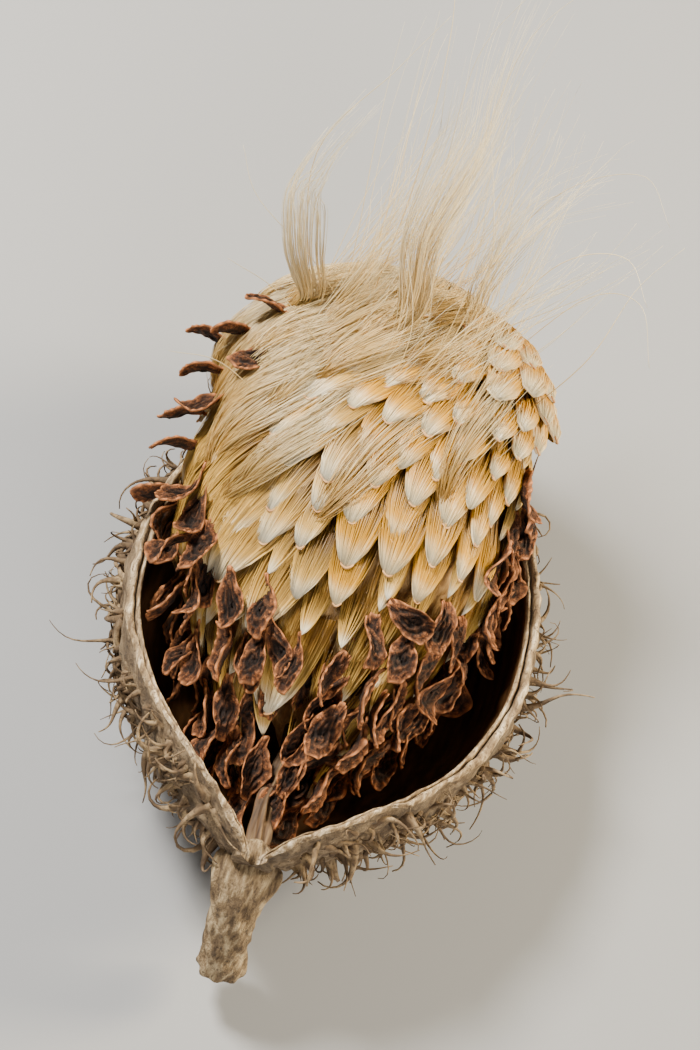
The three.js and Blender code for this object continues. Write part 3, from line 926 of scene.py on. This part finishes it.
def silk_bed():
    """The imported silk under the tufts, drawn in a little from the bed's own surface."""
    rows, around = 100, 96
    s = lerp(0.14, BED_TIP, np.sin(np.linspace(0, pi / 2, rows)))[:, None]
    turn = 2 * pi * np.arange(around) / around
    core = bed_point(s, turn[None])
    core[..., 0], core[..., 2] = bed_axis(s)
    surface = bed_point(s, turn[None], -1.0)
    points = kept_in_husk(lerp(core, surface, smoothstep(s, 0.1, 0.34)[..., None]), 1.2)
    rough = 0.3 * ripple(points * [1, 0.3, 1], 2.2, 31)
    points = points + unit(points - core) * rough[..., None]
    points = np.vstack([points.reshape(-1, 3), core[0, 0], core[-1, 0]])
    piece = new_piece("silk_bed", points, grid_faces(rows, around, closed=True),
                      [silk_bed_material()])
    close_ends(piece, rows, around, flip=True)
    return ride(piece, "silk_dome")


def kept_in_husk(points, clearance):
    """Moves points that lie below the rims inside the husk's cavity, clear of its wall."""
    points = points.copy()
    t = np.clip(points[..., 1] / HUSK_LENGTH, 0.01, 0.99)
    width, depth = (np.maximum(size(t) - husk_wall(t) - clearance, 0.6)
                    for size in (husk_width, husk_depth))
    rim = sheer(t) - husk_depth(t) * np.cos(wall_angle(t)) + clearance
    z = np.maximum(points[..., 2], sheer(t) - 0.98 * depth)
    drop = np.clip((sheer(t) - z) / depth, 0, 1)
    side = width * np.sqrt(1 - drop**2)
    low = points[..., 2] <= rim
    points[..., 2] = np.where(low, z, points[..., 2])
    points[..., 0] = np.where(low, np.clip(points[..., 0], -side, side), points[..., 0])
    return points


def drift(s, turn):
    """The heading of the silk at a place, in radians from the pod's axis towards the right:
    combed to the right over the left side and the top, and straight on the right."""
    left = smoothstep(-np.degrees(turn), -5, 60) * smoothstep(s, 0.1, 0.35)
    high = smoothstep(s, 0.45, 0.7) * (1 - smoothstep(s, 0.85, 0.97))
    return np.radians(3 + 42 * left + 26 * high * (1 - left))


def combed(s, turn, fan, lengths, heights):
    """Paths over the bed that start at (s, turn), fan out and follow the silk's heading.
    fan is each strand's own turn in radians, spent over its first part; heights is
    (strands, steps)."""
    steps = heights.shape[1]
    spots = [(s, turn)]
    for step in range(1, steps):
        heading = drift(s, turn) + fan * np.exp(-2.2 * step / (steps - 1))
        girth = BED_HALF_WIDTH * np.maximum(bed_swell(np.clip(s, 0.05, BED_TIP)), 0.25)
        pace = lengths / (steps - 1)
        s = np.minimum(s + pace * np.cos(heading) / bed_slant(s), BED_TIP)
        turn = turn + pace * np.sin(heading) / girth
        spots.append((s, turn))
    s, turn = np.stack(spots, -1)
    return kept_in_husk(bed_point(s, turn, heights), 0.5)


def strand_radii(count, steps, thick, chance, end):
    share = np.linspace(0, 1, steps)
    profile = np.minimum(1, 0.35 + 6 * share) * (1 - (1 - end) * share**2)
    return thick * chance.uniform(0.7, 1.3, (count, 1)) * profile[None]


def shed_places(seed_ends, seed_middles):
    """Where tufts show without their seeds: rows over the dome, clear of the seeds."""
    chance = np.random.default_rng(8)
    silk_ends = np.array([end for end, _, _ in seed_ends])
    found = []
    for row in range(13):
        s = 0.15 + 0.058 * row
        gap = 5.0 / (BED_HALF_WIDTH * bed_swell(s))
        start = radians(-96) + (0.5 * gap if row % 2 else 0)
        edge = smoothstep(s, 0.20, 0.5)
        left = radians(lerp(-40, -84, edge))
        right = radians(lerp(30, 66, edge) if s < 0.74 else 84)
        for k in range(int(radians(192) / gap) + 1):
            place = s + chance.uniform(-0.009, 0.009)
            turn = start + (k + chance.uniform(-0.11, 0.11)) * gap
            tip = bed_point(place, turn, 1.0)
            from_ends = np.linalg.norm(silk_ends - tip, axis=1).min()
            from_seeds = np.linalg.norm(np.array(seed_middles) - tip, axis=1).min()
            if left < turn < right and from_ends > 2.2 and from_seeds > 2.6:
                found.append((place, turn))
    return np.array(found)


def tuft_traits(places):
    """Each shed tuft's size and how high its tip stands."""
    chance = np.random.default_rng(13)
    s, degrees = places[:, 0], np.degrees(places[:, 1])
    size = chance.uniform(0.80, 1.14, len(s)) * (1 + 0.35 * smoothstep(-degrees, 10, 50))
    shoulder = smoothstep(s, 0.60, 0.84) * smoothstep(degrees, 0, 45)
    lift = chance.uniform(0.45, 1.05, len(s)) + 2.4 * shoulder
    return size * (1 + 0.45 * shoulder), lift


TIP_HALF, TIP_NOTCH = 0.95, 1.0  # a shed tuft's blunt tip: half its width, and its depth
LEFT_TUFTS = radians(-12)  # the tufts left of this are the looser, paler ones


def tuft_surface(places, tuft, side, length, steps):
    """Paths over shed tufts: each starts at its tuft's blunt tip, side from -1 to 1 across it,
    and spreads upwards, sinking under the tips of the next row."""
    size, lift = (trait[tuft] for trait in tuft_traits(places))
    s, turn = places[tuft, 0], places[tuft, 1]
    s0 = s + TIP_NOTCH * np.abs(side) ** 1.7 / BED_LENGTH
    turn0 = turn + side * TIP_HALF * size / (BED_HALF_WIDTH * bed_swell(s))
    share = np.linspace(0, 1, steps)[None]
    crown = (1 - side**2)[:, None] * 0.9 * np.sin(pi * np.clip(share * 1.15 + 0.1, 0, 1))
    crown = crown * np.maximum(1, lift)[:, None]
    heights = 0.1 + (0.9 + lift[:, None]) * (1 - share) ** 1.1 + crown
    return combed(s0, turn0, side * 0.60, length * size, heights)


def scale_tufts(places):
    """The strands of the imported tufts, which lie like shingles."""
    chance = np.random.default_rng(12)
    steps, per_tuft = 7, 84
    tuft = np.repeat(np.arange(len(places)), per_tuft)
    count = len(tuft)
    side = np.tile(np.linspace(-1, 1, per_tuft), len(places)) + chance.uniform(-0.025, 0.025, count)
    path = tuft_surface(places, tuft, side, chance.uniform(10.5, 14.0, count), steps)
    path = path + chance.uniform(-0.06, 0.06, (count, 1, 3))
    radii = strand_radii(count, steps, 0.075, chance, 0.35)
    shades = (tuft * 7 + chance.integers(0, 9, count)) % SHADES
    left = places[tuft, 1] < LEFT_TUFTS
    strands("silk_scales", path[~left], radii[~left], SILK_PACKED, shades[~left])
    strands("silk_tufts_left", path[left], radii[left], SILK_LEFT, shades[left])


def scale_backs(places):
    """The body of each packed tuft, a thin crowned petal just under its strands."""
    rows, columns = 12, 11
    side = np.linspace(-1, 1, columns)
    block = shell_faces(columns, rows)
    left = places[:, 1] < LEFT_TUFTS
    for name, material, chosen in (("silk_scale_backs", SILK_PACKED, ~left),
                                   ("silk_tuft_backs_left", SILK_LEFT, left)):
        points, faces, uv = [], [], []
        for number in np.flatnonzero(chosen):
            top = tuft_surface(places, np.full(columns, number), 0.96 * side, 11.5, rows)
            _, out, _ = bed_frame(*places[number : number + 1].T)
            faces.append(block + 2 * rows * columns * len(points))
            points.append(np.vstack([(top - depth * out).reshape(-1, 3) for depth in (0.12, 0.47)]))
            tone = (number * 7 % SHADES + 0.5 + 0.25 * side) / SHADES
            grid = np.meshgrid(tone, 0.02 + 0.96 * np.linspace(0, 1, rows), indexing="ij")
            uv.append(np.tile(np.stack(grid, -1).reshape(-1, 2), (2, 1)))
        piece = new_piece(name, np.vstack(points), np.vstack(faces), [material])
        set_uv(piece, "OFBake", np.vstack(uv))
        ride(piece)


def scars(places):
    """The small caramel scar along each shed tuft's blunt tip, where its seed was."""
    chance = np.random.default_rng(14)
    steps = 7
    picked = np.flatnonzero(chance.random(len(places)) < 0.85)
    count = len(picked)
    side = np.linspace(-0.8, 0.8, steps) * chance.uniform(0.55, 1.0, (count, 1))
    side = side + chance.uniform(-0.15, 0.15, (count, 1))
    start = tuft_surface(places, np.repeat(picked, steps), side.ravel(), 10.0, 2)[:, 0]
    along, out, _ = bed_frame(*places[picked].T)
    path = start.reshape(count, steps, 3) + (0.05 * out - 0.10 * along)[:, None]
    profile = np.sin(pi * np.linspace(0.12, 0.88, steps)) ** 0.6
    radii = chance.uniform(0.11, 0.20, (count, 1)) * profile[None]
    return ride(tubes("silk_scars", path, radii, 5, [scar_material()]))


def seed_tufts(ends):
    """The silk that each seed still holds: bright at the seed, darkening along each strand into
    painted shade, fanning out over the bed.
    """
    chance = np.random.default_rng(16)
    steps = 10
    share = np.linspace(0, 1, steps)[None]
    paths, tones = [], []
    for number, (silk_end, s, turn) in enumerate(ends):
        left = smoothstep(-np.degrees(turn), 20, 60) * smoothstep(s, 0.2, 0.4)
        high = lerp(0.35, 1.0, max(left, smoothstep(s, 0.26, 0.4)))
        count = int(lerp(70, 150, left))
        fan = chance.uniform(-0.5, 0.5, count) * lerp(1.2, 1.0, left)
        lengths = lerp(8, 19, left) * chance.uniform(0.75, 1.25, count)
        crown = 1.3 * (1 - (fan[:, None] / 0.6) ** 2) * np.sin(pi * np.clip(1.3 * share, 0, 1))
        crown = np.maximum(crown, 0) * lerp(0.4, 1.25, left)
        heights = 0.25 + (1.5 * (1 - share) + crown) * high
        heights = heights + chance.uniform(0, 0.5, (count, 1)) * share
        path = combed(np.full(count, s), np.full(count, turn), fan, lengths, heights)
        paths.append(path + (silk_end - path[:, :1]) * (1 - share[..., None]) ** 3)
        tones.append((number * 5 + chance.integers(0, 5, count)) % SHADES)
    path = np.vstack(paths)
    radii = strand_radii(len(path), steps, 0.07, chance, 0.3)
    strands("silk_of_seeds", path, radii, SILK_LEFT, np.concatenate(tones))


def dome_strands():
    """Fine long silk combed over the top of the dome in loose clumps, from the left and over
    the crown."""
    chance = np.random.default_rng(18)
    clumps, steps = 230, 14
    s = chance.uniform(0.36, 0.86, clumps)
    turn = chance.uniform(radians(-88), radians(78), clumps)
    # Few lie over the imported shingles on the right; many over the upper end.
    high = smoothstep(s, lerp(0.56, 0.70, smoothstep(np.degrees(turn), 0, 40)), 0.84)
    left = smoothstep(-np.degrees(turn), 0, 45) * smoothstep(s, 0.36, 0.46)
    keep = chance.random(clumps) < np.clip(high + 0.55 * left, 0.07, 1)
    s, turn = s[keep], turn[keep]
    clump = np.repeat(np.arange(len(s)), chance.integers(38, 95, len(s)))
    count = len(clump)
    shared = clumped(chance, clump, len(s))
    s = s[clump] + chance.uniform(-0.010, 0.010, count)
    turn = turn[clump] + chance.uniform(-0.035, 0.035, count)
    share = np.linspace(0, 1, steps)[None]
    lengths = shared(14, 30, 9)
    hump = np.maximum(shared(0.0, 3.0, 0.8), 0)[:, None] * np.sin(pi * share**0.8)
    base = shared(0.7, 1.7, 0.5)[:, None]
    wobble = 0.25 * np.sin(7 * share + shared(0, 6.28, 1.5)[:, None])
    heights = (base + hump + wobble) * (1 - 0.45 * share**2)
    path = combed(s, turn, shared(-0.6, 0.6, 0.8), lengths, heights)
    radii = strand_radii(count, steps, 0.046, chance, 0.3)
    shades = (clump * 11 + chance.integers(0, 3, count)) % SHADES
    strands("silk_combed", path, radii, SILK_LOOSE, shades)


def end_strands():
    """The silk that closes the dome's upper end, drawn together towards the beak."""
    chance = np.random.default_rng(19)
    clumps, steps = 120, 14
    clump = np.repeat(np.arange(clumps), chance.integers(18, 46, clumps))
    count = len(clump)
    shared = clumped(chance, clump, clumps)
    s, turn = shared(0.72, 0.92, 0.02), shared(0, 2 * pi, 0.16)
    lengths = 2.5 + shared(15, 27, 5)
    hump = chance.uniform(0, 1.4, clumps)[clump][:, None] * np.sin(pi * np.linspace(0, 1, steps))
    heights = chance.uniform(0.2, 0.8, (count, 1)) + hump
    path = combed(s, turn, shared(-0.4, 0.4, 0.5), lengths, heights)
    radii = strand_radii(count, steps, 0.065, chance, 0.3)
    shades = (clump * 11 + chance.integers(0, 5, count)) % SHADES
    strands("silk_end", path, radii, SILK_LOOSE, shades)


def lock_route(node):
    """The middle line of a CAD lock, from its end on the dome to its free end, with a sweep
    over the dome before it and a longer free end."""
    points, middle, axes = cad_points(node)
    along = (points - middle) @ axes[0]
    if points[along.argmax(), 2] < points[along.argmin(), 2]:
        along = -along
    marks = np.linspace(along.min(), along.max(), 7)
    line = through([points[(along >= low - 0.5) & (along <= high + 0.5)].mean(0)
                    for low, high in zip(marks[:-1], marks[1:])], 7)
    s, turn = bed_place(line[0])
    before = [bed_point(s - 0.11, turn - 0.45, 1.0), bed_point(s - 0.05, turn - 0.2, 1.2)]
    beyond = line[-1] + 1.6 * (line[-1] - line[-2]) + [1.5, 0, 0]
    beyond = np.minimum(beyond, [99, HIGHEST_Y - 5, HIGHEST_Z - 5])
    return np.vstack([before, line, [beyond]])


# Each lock of loose silk: how many strands, how wide it opens in the middle and at its root,
# how far its strands wander, and its random seed.
LOCKS = {
    "left": (130, 3.2, 0.8, 3.0, 50),
    "middle": (150, 4.2, 2.4, 9.0, 51),
    "right": (45, 3.6, 2.0, 9.0, 52),
}


def lock_strands(which):
    """A lock of loose silk along its CAD solid's middle line, in clumps, narrow where it
    starts and wispy where it ends."""
    count, spread, root_spread, wander, seed = LOCKS[which]
    chance = np.random.default_rng(seed)
    steps, clumps = 20, max(6, count // 10)
    route = through(lock_route(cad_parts["silk_lock_" + which]), steps)
    heading = unit(np.gradient(route, axis=0))
    side = unit(np.cross(heading, [0, 0, 1.0]))
    lift = np.cross(side, heading)
    share = np.linspace(0, 1, steps)
    clump = chance.integers(0, clumps, count)
    shared = clumped(chance, clump, clumps)
    angle = shared(0, 2 * pi, 0.9)[:, None]
    reach = np.sqrt(np.clip(shared(0, 1, 0.3), 0, 1))[:, None]
    swell = np.sin(pi * (0.04 + 0.80 * share)) ** 1.2
    reach = reach * (root_spread * (0.35 + 0.65 * share) + (spread - root_spread) * swell)
    swirl = angle + shared(-0.7, 0.7, 0.5)[:, None] * share
    bend, rise = (wander * shared(-0.5, 0.5, loose)[:, None] * share**2 for loose in (0.35, 0.25))
    across, upward = reach * np.cos(swirl) + bend, reach * np.sin(swirl) + rise
    line = route + side * across[..., None] + lift * upward[..., None]
    cut = 0.45 + 0.55 * chance.random(count) ** 0.8  # strands end at different lengths
    path = np.stack([[np.interp(share * end, share, values) for values in strand.T]
                     for end, strand in zip(cut, line)]).transpose(0, 2, 1)
    radii = strand_radii(count, steps, 0.055, chance, 0.2)
    shades = (clump * 13 + chance.integers(0, 12, count)) % SHADES
    piece = tubes("silk_plume_" + which, path, radii, 3, [SILK_LOOSE], shades)
    return ride(piece, "silk_lock_" + which)


def plume_strands():
    """Wisps that rise from the dome's upper end and lean to the right."""
    chance = np.random.default_rng(23)
    clumps, steps = 46, 18
    clump = np.repeat(np.arange(clumps), chance.integers(4, 15, clumps))
    count = len(clump)
    shared = clumped(chance, clump, clumps)
    s = np.clip(shared(0.60, 0.92, 0.05), 0, 0.95)
    turn = shared(radians(-58), radians(40), 0.25)
    along, out, across = bed_frame(s, turn)
    length = np.maximum(shared(9, 40, 12), 7)
    start = along + shared(0.1, 0.5, 0.2)[:, None] * out
    start = unit(start + shared(0.0, 0.7, 0.3)[:, None] * across)[:, None]
    goal = unit(np.stack([shared(-0.25, 0.62, 0.25), shared(0.55, 0.9, 0.2),
                          shared(0.35, 0.95, 0.25)], -1))[:, None]
    phase, sway = shared(0, 2 * pi, 1.2)[:, None], shared(0.05, 0.40, 0.15)[:, None]
    share = np.linspace(0, 1, steps)[None]
    heading = unit(lerp(start, goal, (share**0.7)[..., None]))
    heading = unit(heading + (sway * np.sin(3.5 * share + phase))[..., None] * across[:, None])
    path = walked(bed_point(s, turn, 0.3), heading, length)
    path[..., 1] = np.minimum(path[..., 1], HIGHEST_Y - chance.uniform(0, 2, (count, 1)))
    path[..., 2] = np.minimum(path[..., 2], HIGHEST_Z - chance.uniform(0, 2, (count, 1)))
    radii = strand_radii(count, steps, 0.052, chance, 0.25)
    shades = (clump * 7 + chance.integers(0, 12, count)) % SHADES
    return ride(tubes("silk_plume", path, radii, 3, [SILK_LOOSE], shades))


def flyaway_hairs():
    """A few long hairs that have come right away and arch over the pod."""
    routes = [
        [(-8, 66, 17), (-17, 72, 22), (-27, 76, 26), (-31, 80, 30)],
        [(-10, 60, 19), (-20, 66, 22), (-28, 66, 26)],
        [(14, 66, 12), (20, 74, 20), (23, 84, 24), (27, 90, 28)],
        [(6, 72, 18), (12, 82, 26), (20, 86, 27), (25, 82, 24)],
        [(9, 70, 17), (17, 80, 24), (24, 82, 24), (28, 76, 20)],
        [(2, 74, 18), (8, 88, 30), (18, 94, 34), (24, 90, 31)],
        [(-14, 52, 16), (-24, 56, 18), (-31, 54, 20)],
        [(-16, 70, 15), (-22, 82, 30), (-16, 92, 40), (-12, 98, 46)],
        [(-4, 74, 18), (-6, 86, 32), (-7, 96, 44), (-2, 103, 55)],
        [(-6, 74, 18), (-3, 88, 33), (-2, 98, 46), (3, 104, 54)],
        [(-9, 72, 18), (-9, 84, 30), (-11, 96, 43), (-14, 103, 52)],
    ]
    steps = 24
    path = np.array([through(route, steps) for route in routes])
    chance = np.random.default_rng(29)
    radii = strand_radii(len(path), steps, 0.075, chance, 0.4)
    shades = chance.integers(0, SHADES, len(path))
    return ride(tubes("silk_flyaway", path, radii, 3, [SILK_LOOSE], shades))


# ---- floor, light and camera ----


def floor():
    half = 3.0
    mesh = bpy.data.meshes.new("floor")
    corners = [(-half, -half, 0), (half, -half, 0), (half, half, 0), (-half, half, 0)]
    mesh.from_pydata(corners, [], [(0, 1, 2, 3)])
    mesh.materials.append(floor_material())
    sheet = bpy.data.objects.new("floor", mesh)
    bpy.context.scene.collection.objects.link(sheet)


def area_light(name, place, target, size, power, colour):
    data = bpy.data.lights.new(name, "AREA")
    data.shape = "DISK"
    data.size = size
    data.energy = power
    data.color = colour
    lamp = bpy.data.objects.new(name, data)
    lamp.location = place
    aim = Vector(target) - Vector(place)
    lamp.rotation_euler = aim.to_track_quat("-Z", "Y").to_euler()
    bpy.context.scene.collection.objects.link(lamp)


def studio():
    world = bpy.data.worlds.new("studio")
    bpy.context.scene.world = world
    world.use_nodes = True
    background = world.node_tree.nodes["Background"]
    background.inputs["Color"].default_value = (1.0, 0.985, 0.96, 1)
    background.inputs["Strength"].default_value = 0.11
    middle = (0.0, 0.0, 0.025)
    area_light("key", (-0.28, 0.14, 0.38), middle, 0.12, 6.6, (1.0, 0.97, 0.90))
    area_light("glow", (0.36, 0.20, 0.24), middle, 0.16, 5.2, (1.0, 0.87, 0.62))
    area_light("front", (0.18, -0.42, 0.30), middle, 0.26, 2.0, (1.0, 0.97, 0.93))


def camera():
    """Looks down on the pod along the split, from a little to its left, with the pod leaning
    to the right in the picture."""
    azimuth, elevation, roll = radians(-7), radians(62), radians(26)
    distance, lens = 0.372, 100.0
    target = Vector(put([-1.9, 45.4, 8.8]))
    direction = Vector((sin(azimuth) * cos(elevation), -cos(azimuth) * cos(elevation),
                        sin(elevation)))
    data = bpy.data.cameras.new("camera")
    data.lens = lens
    data.clip_start = 0.01
    eye = bpy.data.objects.new("camera", data)
    eye.location = target + direction * distance
    look = (-direction).to_track_quat("-Z", "Y")
    eye.rotation_mode = "QUATERNION"
    eye.rotation_quaternion = look @ Quaternion((0, 0, 1), roll)
    bpy.context.scene.collection.objects.link(eye)
    bpy.context.scene.camera = eye


# ---- the pod ----

camera()
studio()
floor()

husk_shell()
husk_spines()
stem_stalk()
placenta_column()
silk_bed()
seed_ends = cad_seeds()
seed_middles = [node_middle(node) for node in SEED_NODES]
for name in MORE_SEEDS:
    more_seeds(name, seed_ends, seed_middles)
places = shed_places(seed_ends, seed_middles)
scale_backs(places)
scale_tufts(places)
scars(places)
seed_tufts(seed_ends)
dome_strands()
end_strands()
for which in LOCKS:
    lock_strands(which)
plume_strands()
flyaway_hairs()
